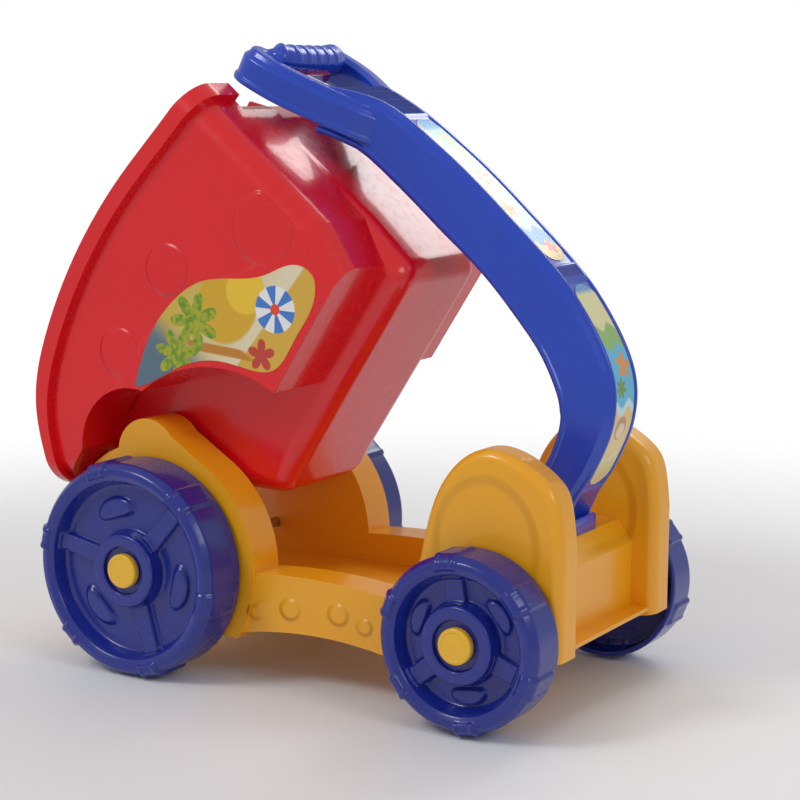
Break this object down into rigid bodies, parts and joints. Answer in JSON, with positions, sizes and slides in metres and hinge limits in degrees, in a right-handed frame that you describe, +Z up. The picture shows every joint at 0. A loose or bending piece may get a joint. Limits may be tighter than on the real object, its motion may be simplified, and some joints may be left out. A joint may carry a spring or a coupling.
{
  "type": "toddler push cart with tipping tub",
  "caption": "Child's moulded-plastic ride-along cart: arched chassis on hollow wheels, a tub that tips back on a rear hinge, and a curved post ending in a hooped grip.",
  "frame": {"origin": "centre of the bounding box, at floor level under the wheels", "axes": "+X towards the front wheels and the handle's foot, +Y towards the cart's left, +Z up"},
  "size_m": [0.4458, 0.276, 0.4719],
  "materials": {
    "tub_plastic": "glossy moulded",
    "chassis_plastic": "satin moulded",
    "wheel_plastic": "satin blow-moulded",
    "handle_plastic": "glossy moulded",
    "cap_plastic": "glossy moulded",
    "pin_plastic": "moulded",
    "steel": "zinc-bright drawn",
    "tub_print": "printed film",
    "handle_print": "printed film"
  },
  "bodies": {
    "chassis": {"chassis": "chassis_plastic", "rear_axle": "steel", "front_axle": "steel", "axle_cap_rear_right": "cap_plastic", "axle_cap_rear_left": "cap_plastic", "axle_cap_front_right": "cap_plastic", "axle_cap_front_left": "cap_plastic", "handle": "handle_plastic", "handle_screws": "steel", "handle_sticker_upper": "handle_print", "handle_sticker_lower": "handle_print"},
    "tub": {"tub": "tub_plastic", "hinge_pin_right": "pin_plastic", "hinge_pin_left": "pin_plastic", "tub_sticker_right": "tub_print", "tub_sticker_left": "tub_print"},
    "wheel_rear_right": {"wheel_rear_right": "wheel_plastic"},
    "wheel_rear_left": {"wheel_rear_left": "wheel_plastic"},
    "wheel_front_right": {"wheel_front_right": "wheel_plastic"},
    "wheel_front_left": {"wheel_front_left": "wheel_plastic"}
  },
  "joints": [
    {"name": "tub_tip", "type": "hinge", "parent": "chassis", "child": "tub", "pos_m": [-0.1346, 0, 0.168], "axis": [0, 1, 0], "range_deg": [0, 57.2]},
    {"name": "wheel_rear_right_spin", "type": "hinge", "parent": "chassis", "child": "wheel_rear_right", "pos_m": [-0.1246, -0.1176, 0.0821], "axis": [0, 1, 0], "continuous": true},
    {"name": "wheel_rear_left_spin", "type": "hinge", "parent": "chassis", "child": "wheel_rear_left", "pos_m": [-0.1246, 0.1176, 0.0821], "axis": [0, 1, 0], "continuous": true},
    {"name": "wheel_front_right_spin", "type": "hinge", "parent": "chassis", "child": "wheel_front_right", "pos_m": [0.1588, -0.113, 0.06547], "axis": [0, 1, 0], "continuous": true},
    {"name": "wheel_front_left_spin", "type": "hinge", "parent": "chassis", "child": "wheel_front_left", "pos_m": [0.1588, 0.113, 0.06547], "axis": [0, 1, 0], "continuous": true}
  ]
}
